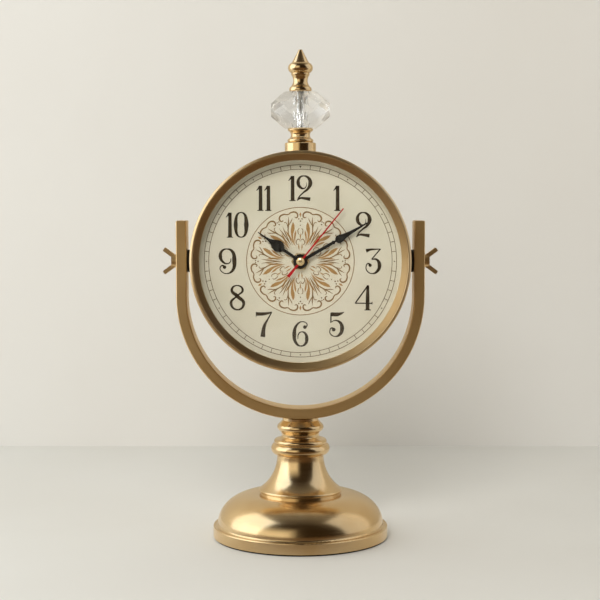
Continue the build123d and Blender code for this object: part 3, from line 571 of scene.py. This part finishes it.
def smoothed(points):
    # a curve through the points, each stretch cut in steps
    padded = [points[0], *points, points[-1]]
    curve = []
    for first, start, end, last in zip(padded, padded[1:], padded[2:], padded[3:]):
        for step in range(bladeSteps):
            t = step / bladeSteps
            curve.append(tuple(
                start[axis] + 0.5 * t * (
                    end[axis] - first[axis]
                    + t * (2 * first[axis] - 5 * start[axis] + 4 * end[axis] - last[axis])
                    + t * t * (3 * (start[axis] - end[axis]) + last[axis] - first[axis])
                )
                for axis in (0, 1)
            ))
    return curve + [points[-1]]


def pressedHand(hand):
    blade = smoothed(hand["blade"])
    start = math.asin(hand["blade"][-1][1] / hand["boss"])
    finish = math.pi - (math.asin(hand["tail"][0][1] / hand["boss"]) if hand["tail"] else 0)
    arc = [start + (finish - start) * step / bossArc for step in range(bossArc + 1)]
    half = blade + [(hand["boss"] * math.cos(turn), hand["boss"] * math.sin(turn)) for turn in arc]
    half += hand["tail"]
    other = [(along, -side) for along, side in reversed(half)]
    outline = half + (other if hand["tail"] else other[1:])
    shape = bmesh.new()
    face = shape.faces.new([shape.verts.new((side * mm, along * mm, 0)) for along, side in outline])
    grown = bmesh.ops.extrude_face_region(shape, geom=[face])["geom"]
    back, front = hand["depths"]
    raised = [part for part in grown if isinstance(part, bmesh.types.BMVert)]
    bmesh.ops.translate(shape, verts=raised, vec=(0, 0, (front - back) * mm))
    place = Matrix.Translation((0, -back * mm, pivotLevel)) @ Matrix.Rotation(math.pi / 2, 4, "X")
    shape.transform(place @ Matrix.Rotation(-math.radians(hand["angle"]), 4, "Z"))
    bmesh.ops.recalc_face_normals(shape, faces=shape.faces)
    return shape


for name, hand in hands.items():
    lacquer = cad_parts[hand["node"]].material_slots[0].material
    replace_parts(addPiece(pressedHand(hand), name, hand["body"], lacquer), hand["node"])
print("bezel and hands fitted")

# Printing on the dial. A stroke is a pen line of points (across, up, width) in millimetres.
ink = {
    "lift": 0.03 * mm,  # each layer of ink stands this far off the one below
    "curveSteps": 10,
    "dotSegments": 20,
    "black": ("numeralInk", "#2A2012", "#382D1B"),
    "line": ("trackInk", "#5C4C33", "#6E5C40"),
    "tan": ("leafInk", "#AC8655", "#A07B4B"),
    "brown": ("scrollInk", "#7F623C", "#8C6E46"),
    "wash": ("medallionWash", "#DDD7C4", "#D8D0BB"),
}


def penMesh(strokes, dots=()):
    # pen lines as a flat curve: the radius of each point gives the line its width, and a line that ends
    # where it starts is closed
    curve = bpy.data.curves.new("pen", "CURVE")
    curve.dimensions = "3D"
    curve.twist_mode = "Z_UP"
    curve.extrude = mm / 2  # a point of radius 1 makes the line 1 mm wide
    curve.resolution_u = ink["curveSteps"]
    for stroke in strokes:
        spline = curve.splines.new("BEZIER")
        spline.use_cyclic_u = stroke[0] == stroke[-1]
        points = stroke[:-1] if spline.use_cyclic_u else stroke
        spline.bezier_points.add(len(points) - 1)
        for point, (across, up, width) in zip(spline.bezier_points, points):
            point.co = (across * mm, up * mm, 0)
            point.radius = width
            point.tilt = math.pi / 2
            point.handle_left_type = point.handle_right_type = "AUTO"
    pen = bpy.data.objects.new("pen", curve)
    bpy.context.collection.objects.link(pen)
    flat = bpy.data.meshes.new_from_object(pen.evaluated_get(bpy.context.evaluated_depsgraph_get()))
    bpy.data.objects.remove(pen)
    shape = bmesh.new()
    shape.from_mesh(flat)
    for across, up, radius in dots:
        bmesh.ops.create_circle(
            shape,
            cap_ends=True,
            segments=ink["dotSegments"],
            radius=radius * mm,
            matrix=Matrix.Translation((across * mm, up * mm, 0)),
        )
    bmesh.ops.reverse_faces(shape, faces=[face for face in shape.faces if face.normal.z < 0])
    return shape


def printOnDial(shape, name, material, layer):
    # turns the flat print upright and lays it on the dial's face, each layer a little in front of the last
    place = Matrix.Translation((0, dialFront - ink["lift"] * layer, pivotLevel))
    shape.transform(place @ Matrix.Rotation(math.pi / 2, 4, "X"))
    piece = makeObject(shape, name, material)
    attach(piece, "clock_head")


inks = {name: printedInk(*ink[name]) for name in ("black", "line", "tan", "brown", "wash")}

# Numerals: old-style figures with thick stems, hairlines and ball ends, 17.7 mm tall
numerals = {"radius": 50.4, "height": 17.7, "gap": 0.45}
figures = {
    "0": {
        "width": 10.4,
        "strokes": [
            [(5.2, 17.35, 0.7), (1.45, 8.85, 2.9), (5.2, 0.35, 0.7), (8.8, 8.85, 3.3), (5.2, 17.35, 0.7)],
        ],
    },
    "1": {
        "width": 5.0,
        "strokes": [
            [(2.95, 0.2, 3.3), (2.95, 1.0, 2.6), (2.95, 9.0, 2.45), (2.95, 17.3, 2.3)],
            [(0.1, 14.0, 0.4), (1.1, 15.0, 0.9), (2.6, 16.9, 1.7)],
            [(0.7, 0.3, 0.6), (5.0, 0.3, 0.6)],
        ],
    },
    "2": {
        "width": 11.2,
        "strokes": [
            [
                (6.95, 12.8, 0.25), (6.95, 10.5, 0.5), (5.3, 8.7, 0.9), (2.7, 9.6, 1.9), (1.35, 12.6, 2.5),
                (2.4, 16.1, 1.5), (5.2, 17.3, 0.8), (8.4, 15.9, 1.9), (9.7, 12.4, 2.9), (8.2, 8.7, 1.8),
                (4.6, 5.6, 1.0), (2.0, 2.9, 0.9), (0.7, 0.3, 0.7),
            ],
            [(0.7, 0.6, 0.6), (2.9, 2.0, 1.3), (6.2, 1.8, 1.9), (9.7, 1.3, 2.5)],
        ],
    },
    "3": {
        "width": 11.2,
        "strokes": [
            [(0.6, 16.1, 2.7), (3.2, 16.9, 1.5), (7.0, 17.2, 0.9), (10.6, 17.35, 0.6)],
            [(10.5, 17.3, 0.8), (7.6, 14.0, 0.8), (4.5, 10.3, 0.8)],
            [
                (4.4, 10.2, 0.5), (7.8, 10.1, 1.5), (9.9, 6.4, 2.7), (8.3, 1.9, 1.9), (4.9, 0.35, 0.7),
                (1.5, 2.0, 0.8), (0.6, 5.0, 0.7), (1.9, 7.3, 0.9), (3.3, 6.7, 1.4),
            ],
        ],
        "dots": [(3.4, 6.1, 1.15)],
    },
    "4": {
        "width": 12.4,
        "strokes": [
            [(9.4, 17.4, 1.0), (0.6, 5.1, 0.9)],
            [(9.1, 0.2, 3.3), (9.1, 1.0, 2.6), (9.1, 9.0, 2.55), (9.3, 17.4, 1.7)],
            [(6.9, 0.3, 0.6), (11.4, 0.3, 0.6)],
            [(0.3, 5.0, 0.8), (12.3, 5.0, 0.8)],
            [(12.2, 4.2, 0.6), (12.2, 6.0, 0.6)],
        ],
    },
    "5": {
        "width": 10.4,
        "strokes": [
            [(1.2, 15.8, 2.7), (5.4, 15.7, 2.7), (8.4, 16.4, 1.6), (10.3, 17.4, 0.3)],
            [(1.2, 16.6, 0.9), (1.1, 9.9, 0.9)],
            [
                (0.8, 9.9, 0.4), (4.2, 11.5, 0.8), (7.6, 9.9, 1.9), (8.9, 6.0, 2.8), (7.5, 1.9, 2.0),
                (4.3, 0.35, 0.7), (1.1, 1.8, 0.8), (0.4, 4.3, 0.7), (1.6, 6.2, 1.0), (2.8, 5.8, 1.4),
            ],
        ],
        "dots": [(3.1, 5.1, 1.3)],
    },
    "6": {
        "width": 11.4,
        "strokes": [
            [
                (9.6, 13.2, 0.8), (10.3, 15.6, 0.7), (6.9, 17.35, 0.7), (3.2, 15.0, 1.5), (1.45, 8.6, 2.8),
                (3.0, 2.1, 1.8), (6.0, 0.4, 0.8), (9.1, 1.9, 1.7), (10.1, 5.4, 2.5), (9.0, 9.2, 1.5),
                (6.6, 10.3, 0.7), (4.5, 8.9, 0.9), (3.9, 5.3, 0.5),
            ],
        ],
        "dots": [(8.8, 13.6, 1.25)],
    },
    "7": {
        "width": 11.5,
        "strokes": [
            [(0.5, 16.0, 2.4), (4.6, 16.0, 2.3), (8.4, 16.5, 1.6), (11.2, 17.3, 0.7)],
            [(0.4, 17.4, 0.7), (0.2, 13.7, 0.35)],
            [(11.1, 17.2, 0.8), (8.5, 12.6, 1.0), (5.9, 7.4, 2.2), (4.8, 0.0, 3.4)],
        ],
    },
    "8": {
        "width": 11.2,
        "strokes": [
            [
                (5.3, 17.3, 0.8), (1.75, 14.3, 1.8), (5.6, 9.9, 2.6), (10.0, 4.6, 2.0), (5.7, 0.45, 1.0),
                (1.15, 5.0, 2.0), (5.2, 9.9, 0.9), (9.25, 14.3, 1.6), (5.3, 17.3, 0.8),
            ],
        ],
    },
    "9": {
        "width": 12.4,
        "strokes": [
            [
                (8.5, 10.8, 0.5), (8.2, 8.6, 0.7), (6.0, 7.2, 0.9), (3.1, 8.4, 1.5), (1.25, 12.3, 2.5),
                (2.6, 16.2, 1.5), (5.8, 17.35, 0.8), (9.4, 15.8, 2.0), (10.9, 9.5, 3.1), (9.8, 2.7, 1.9),
                (5.8, 0.35, 0.7), (2.3, 1.6, 0.7), (1.0, 4.1, 0.7), (2.4, 5.9, 1.0), (3.6, 5.6, 1.4),
            ],
        ],
        "dots": [(4.1, 4.8, 1.25)],
    },
}


def numeralParts(hour):
    # the figures of one hour, side by side and centred on its place on the dial
    digits = str(hour)
    widths = [figures[digit]["width"] for digit in digits]
    total = sum(widths) + numerals["gap"] * (len(digits) - 1)
    turn = math.tau * hour / 12
    left = numerals["radius"] * math.sin(turn) - total / 2
    foot = numerals["radius"] * math.cos(turn) - numerals["height"] / 2
    strokes, dots = [], []
    for digit, width in zip(digits, widths):
        figure = figures[digit]
        strokes += [[(x + left, y + foot, w) for x, y, w in stroke] for stroke in figure["strokes"]]
        dots += [(x + left, y + foot, r) for x, y, r in figure.get("dots", [])]
        left += width + numerals["gap"]
    return strokes, dots


numeralStrokes, numeralDots = [], []
for hour in range(1, 13):
    hourStrokes, hourDots = numeralParts(hour)
    numeralStrokes += hourStrokes
    numeralDots += hourDots
printOnDial(penMesh(numeralStrokes, numeralDots), "dial_numerals", inks["black"], layer=3)
print("numerals printed")

# Minute track: two rings, a line for each minute, and a small mark in the wide cell at each hour
track = {
    "outer": 66.5,
    "inner": 63.4,
    "line": 0.42,
    "markWidth": 1.0,
    "markTall": 1.3,
    "twelveWidth": 1.6,
    "twelveTall": 1.7,
    "point": 0.05,  # width of a mark's pointed end
}
ringPoints = 72


def ring(radius, width):
    turns = [math.tau * step / ringPoints for step in range(ringPoints + 1)]
    circle = [(radius * math.sin(turn), radius * math.cos(turn), width) for turn in turns]
    return circle[:-1] + circle[:1]  # ends exactly where it starts


def radial(turn, start, end, startWidth, endWidth):
    # a straight stroke along the line from the centre
    across, up = math.sin(turn), math.cos(turn)
    return [(across * start, up * start, startWidth), (across * end, up * end, endWidth)]


trackStrokes = [ring(track["outer"], track["line"]), ring(track["inner"], track["line"])]
trackMiddle = (track["outer"] + track["inner"]) / 2
for minute in range(60):
    turn = math.tau * minute / 60
    if minute % 5:
        trackStrokes.append(radial(turn, track["inner"], track["outer"], track["line"], track["line"]))
    elif minute:
        for end in (-track["markTall"] / 2, track["markTall"] / 2):
            trackStrokes.append(
                radial(turn, trackMiddle, trackMiddle + end, track["markWidth"], track["point"])
            )
    else:
        foot, top = trackMiddle - track["twelveTall"] / 2, trackMiddle + track["twelveTall"] / 2
        trackStrokes.append(radial(turn, foot, top, track["point"], track["twelveWidth"]))
printOnDial(penMesh(trackStrokes), "minute_track", inks["line"], layer=2)
print("minute track printed")

# Centre rosette: six sprays of leaves under twelve cusped brackets. Its strokes are (radius, degrees off
# the spray's axis, width), each drawn once and mirrored.
rosette = {
    "sprays": 6,
    "rim": 37.2,
    "rimLine": 0.5,
    "brackets": [
        [(30.9, 7.4, 0.35), (30.2, 5.4, 0.8), (31.6, 3.4, 1), (33.8, 5.2, 1.1), (34.3, 10.5, 0.95),
         (33.4, 15, 0.75), (34.3, 19.5, 0.95), (33.8, 24.8, 1.1), (31.6, 26.6, 1), (30.2, 24.6, 0.8),
         (30.9, 22.6, 0.35)],
        [(31.8, 15.2, 0.2), (28.8, 16.6, 0.75), (25.6, 19.2, 0.85), (21.6, 22.8, 0.7), (16.6, 25, 0.5),
         (12.4, 25.6, 0.2)],
        [(30.4, 10.6, 0.2), (28.9, 12.2, 0.6), (27.3, 15.4, 0.6), (25.6, 19.2, 0.4)],
        [(28.9, 23, 0.5), (28.5, 20.6, 0.5), (26.5, 20, 0.5), (24.4, 20.8, 0.3)],
        [(13.8, 0.6, 0.2), (15.4, 5.2, 0.6), (14.2, 11, 0.6), (12.1, 12, 0.5), (11.8, 8, 0.25)],
        [(13, 30, 0.2), (17.5, 29, 0.6), (22.5, 28, 0.8), (27, 27, 0.15)],
        [(18, 2.2, 0.2), (20, 4.6, 0.6), (22.3, 3.6, 0.5), (22.6, 1.2, 0.2)],
    ],
    "leaves": [
        [(27.6, 10.6, 0.1), (25.6, 11.4, 1.9), (23, 13.4, 2.6), (19.6, 17, 1.5), (15.5, 19, 0.8),
         (11, 18, 0.2)],
        [(21.8, 8.2, 0.1), (19.4, 10.4, 1.3), (16.6, 13.6, 1), (13.2, 16, 0.3)],
        [(23.6, 26, 0.1), (20.2, 24.6, 1.3), (16.5, 22.6, 0.9), (12, 20.6, 0.2)],
        [(7.4, 6, 0.1), (10, 6.4, 0.9), (12.6, 5, 0.1)],
    ],
    "buds": [
        [(34, 0, 0.1), (32.3, 0, 1.5), (30.6, 0, 0.1)],
        [(19.6, 0, 0.1), (17.6, 0, 0.9), (14.6, 0, 0.1)],
    ],
    "berries": [(29.3, 2.2, 0.5), (27.8, 0, 0.55), (29.3, 30, 0.5), (31, 28.8, 0.45), (24.9, 0, 0.4)],
}


def roundDial(strokes, mirrored=True):
    # repeats strokes round the dial, once for each spray and its mirror image
    copies = []
    for spray in range(rosette["sprays"]):
        start = math.tau * spray / rosette["sprays"]
        for side in (1, -1) if mirrored else (1,):
            for stroke in strokes:
                turned = [(r, start + side * math.radians(off), w) for r, off, w in stroke]
                copies.append([(r * math.sin(turn), r * math.cos(turn), w) for r, turn, w in turned])
    return copies


wash = bmesh.new()
bmesh.ops.create_circle(wash, cap_ends=True, segments=ringPoints, radius=rosette["rim"] * mm)
printOnDial(wash, "medallion_wash", inks["wash"], layer=1)
leaves = roundDial(rosette["leaves"]) + roundDial(rosette["buds"], mirrored=False)
printOnDial(penMesh(leaves), "medallion_leaves", inks["tan"], layer=2)
berries = [dot for group in roundDial([rosette["berries"]]) for dot in group]
scrolls = roundDial(rosette["brackets"]) + [ring(rosette["rim"], rosette["rimLine"])]
printOnDial(penMesh(scrolls, berries), "medallion_scrolls", inks["brown"], layer=3)
print("rosette printed")

# Room: a pale table and wall. Brass mirrors them in painted reflection tones of their own, as a studio with
# a dim front would show, and the table's reflection has painted shade that turns dark in front of the
# clock.
room = {
    # each sheet has a painted reflection tone that brass sees instead of its own colour; the table's also
    # has painted shade in front
    "table": {"colour": "#E4E4DF", "shade": "#E0DFD9", "paintedReflection": "#EAE4D6", "paintedFrontShade": "#654C31"},
    "wall": {"colour": "#E0DFDB", "shade": "#DDDBD6", "paintedReflection": "#CDC3B0", "oneSided": True},
    "paintedShadeFade": {"From Min": -0.01, "From Max": -0.13},  # Y where the table starts and ends turning dark
    "wallBehind": 0.374,
    "reach": 2.4,
    "cloud": 300 * mm,
    "grain": 20 * mm,
    "rough": (0.6, 0.75),
}


def plasterMaterial(name, look):
    # smooth painted plaster: slow cloudy tone, and a painted reflection tone that mirror rays see instead
    # of it
    material, tree, shader, place = startMaterial(name, {"Specular IOR Level": 0.2})
    tone = varyColour(tree, shader, place, look["colour"], look["shade"], room["cloud"])
    roughen(tree, shader, place, room["grain"], room["rough"])
    rays = addNode(tree, "LightPath")
    paintedReflectionMask = addNode(
        tree,
        "Math",
        links={0: rays.outputs["Is Glossy Ray"], 1: rays.outputs["Is Transmission Ray"]},
        operation="SUBTRACT",
        use_clamp=True,
    )
    shown = addNode(
        tree, "Mix", {7: toLinear(look["paintedReflection"])}, {0: paintedReflectionMask.outputs[0], 6: tone}, data_type="RGBA"
    )
    tree.links.new(shown.outputs[2], shader.inputs["Base Color"])
    # painted shade in the reflection: the table's mirrored tone turns dark in front of the clock
    if "paintedFrontShade" in look:
        parts = addNode(tree, "SeparateXYZ", links={0: place})
        paintedShadeMask = addNode(tree, "MapRange", room["paintedShadeFade"], {"Value": parts.outputs["Y"]})
        tones = {6: toLinear(look["paintedReflection"]), 7: toLinear(look["paintedFrontShade"])}
        mirrored = addNode(tree, "Mix", tones, {0: paintedShadeMask.outputs["Result"]}, data_type="RGBA")
        tree.links.new(mirrored.outputs[2], shown.inputs[7])
    if look.get("oneSided"):  # clear from behind, so that the clock shows from there
        side = addNode(tree, "NewGeometry")
        tree.links.new(side.outputs["Backfacing"], letThrough(tree, shader))
    return material


def addSheet(name, width, height, place, material):
    sheet = bmesh.new()
    bmesh.ops.create_grid(sheet, x_segments=2, y_segments=2, size=0.5)
    sheet.transform(place @ Matrix.Diagonal((width, height, 1, 1)))
    obj = makeObject(sheet, name, material)


reach = room["reach"]
addSheet(
    "table_top", reach * 2, reach + room["wallBehind"],
    Matrix.Translation((0, (room["wallBehind"] - reach) / 2, 0)),
    plasterMaterial("paintedTable", room["table"]),
)
addSheet(
    "back_wall", reach * 2, reach,
    Matrix.Translation((0, room["wallBehind"], reach / 2)) @ Matrix.Rotation(math.pi / 2, 4, "X"),
    plasterMaterial("paintedWall", room["wall"]),
)
print("table and wall set")

# Sky: each range is of the direction's X, Y or Z. In front it is light low on the left, and dark to the
# right and above. The camera sees a plain pale tone instead, and so do rays that went through glass, except
# those that head straight back, as the ones that leave the dial through the pane do.
sky = {
    "left": "#FAEBCC",
    "right": "#302415",
    "across": {"From Min": -0.32, "From Max": -0.06},
    "above": {"From Min": 0.3, "From Max": 0.65},
    "back": "#8F887B",
    "behind": {"From Min": -0.6, "From Max": 0.3},
    "plain": "#F2EEE6",
    "straight": {"From Min": -0.96, "From Max": -0.985},
}
world = bpy.data.worlds.new("studio")
world.use_nodes = True
bpy.context.scene.world = world
tree = world.node_tree
direction = addNode(tree, "TexCoord")
parts = addNode(tree, "SeparateXYZ", links={0: direction.outputs["Generated"]})
across = addNode(tree, "MapRange", sky["across"], {"Value": parts.outputs["X"]})
above = addNode(tree, "MapRange", sky["above"], {"Value": parts.outputs["Z"]})
dark = addNode(
    tree, "Math", links={0: across.outputs["Result"], 1: above.outputs["Result"]}, operation="MAXIMUM"
)
frontTones = {6: toLinear(sky["left"]), 7: toLinear(sky["right"])}
front = addNode(tree, "Mix", frontTones, {0: dark.outputs[0]}, data_type="RGBA")
behind = addNode(tree, "MapRange", sky["behind"], {"Value": parts.outputs["Y"]})
around = addNode(
    tree,
    "Mix",
    {7: toLinear(sky["back"])},
    {0: behind.outputs["Result"], 6: front.outputs[2]},
    data_type="RGBA",
)
rays = addNode(tree, "LightPath")
straight = addNode(tree, "MapRange", sky["straight"], {"Value": parts.outputs["Y"]})
through = addNode(
    tree,
    "Math",
    links={0: rays.outputs["Is Transmission Ray"], 1: straight.outputs["Result"]},
    operation="SUBTRACT",
    use_clamp=True,
)
plain = addNode(
    tree, "Math", links={0: rays.outputs["Is Camera Ray"], 1: through.outputs[0]}, operation="MAXIMUM"
)
seen = addNode(
    tree, "Mix", {7: toLinear(sky["plain"])}, {0: plain.outputs[0], 6: around.outputs[2]}, data_type="RGBA"
)
tree.links.new(seen.outputs[2], tree.nodes["Background"].inputs["Color"])
print("sky set")

# Lamps: a soft box on each side, and one high in front that nothing mirrors
lamps = {
    "left_softbox": {
        "place": (-0.85, -0.09, 0.55),
        "size": (0.95, 1.2),
        "power": 5.4,
        "colour": (0.9, 0.95, 1),
        "glossy": True,
    },
    "right_softbox": {
        "place": (0.85, -0.06, 0.55),
        "size": (0.9, 1.2),
        "power": 2,
        "colour": (1, 1, 1),
        "glossy": True,
    },
    "front_fill": {
        "place": (-0.3, -1.45, 1.1),
        "size": (0.8, 0.8),
        "power": 18.2,
        "colour": (1, 0.985, 0.96),
        "glossy": False,
    },
}
lampAim = Vector((0, 0, 0.18))
for name, lamp in lamps.items():
    light = bpy.data.lights.new(name, "AREA")
    light.shape = "RECTANGLE"
    light.size, light.size_y = lamp["size"]
    light.energy = lamp["power"]
    light.color = lamp["colour"]
    holder = bpy.data.objects.new(name, light)
    bpy.context.collection.objects.link(holder)
    holder.location = lamp["place"]
    holder.rotation_euler = (lampAim - holder.location).to_track_quat("-Z", "Y").to_euler()
    holder.visible_camera = False
    holder.visible_glossy = lamp["glossy"]

# Camera, fitted to the photograph: a long lens, a little above the clock's middle
shot = {
    "distance": 1.0,
    "height": 0.235,
    "sideways": -0.28 * mm,
    "pitch": 0.0679,
    "focalPixels": 1434.2,
    "imagePixels": 600,
    "sensor": 36,
}
camera = bpy.data.cameras.new("camera")
camera.sensor_width = shot["sensor"]
camera.lens = shot["sensor"] * shot["focalPixels"] / shot["imagePixels"]
cameraObject = bpy.data.objects.new("camera", camera)
bpy.context.collection.objects.link(cameraObject)
cameraObject.location = (shot["sideways"], -shot["distance"], shot["height"])
cameraObject.rotation_euler = (math.pi / 2 - shot["pitch"], 0, 0)
bpy.context.scene.camera = cameraObject
bpy.context.scene.view_settings.view_transform = "Standard"
print("lamps and camera set")

print("scene ready")
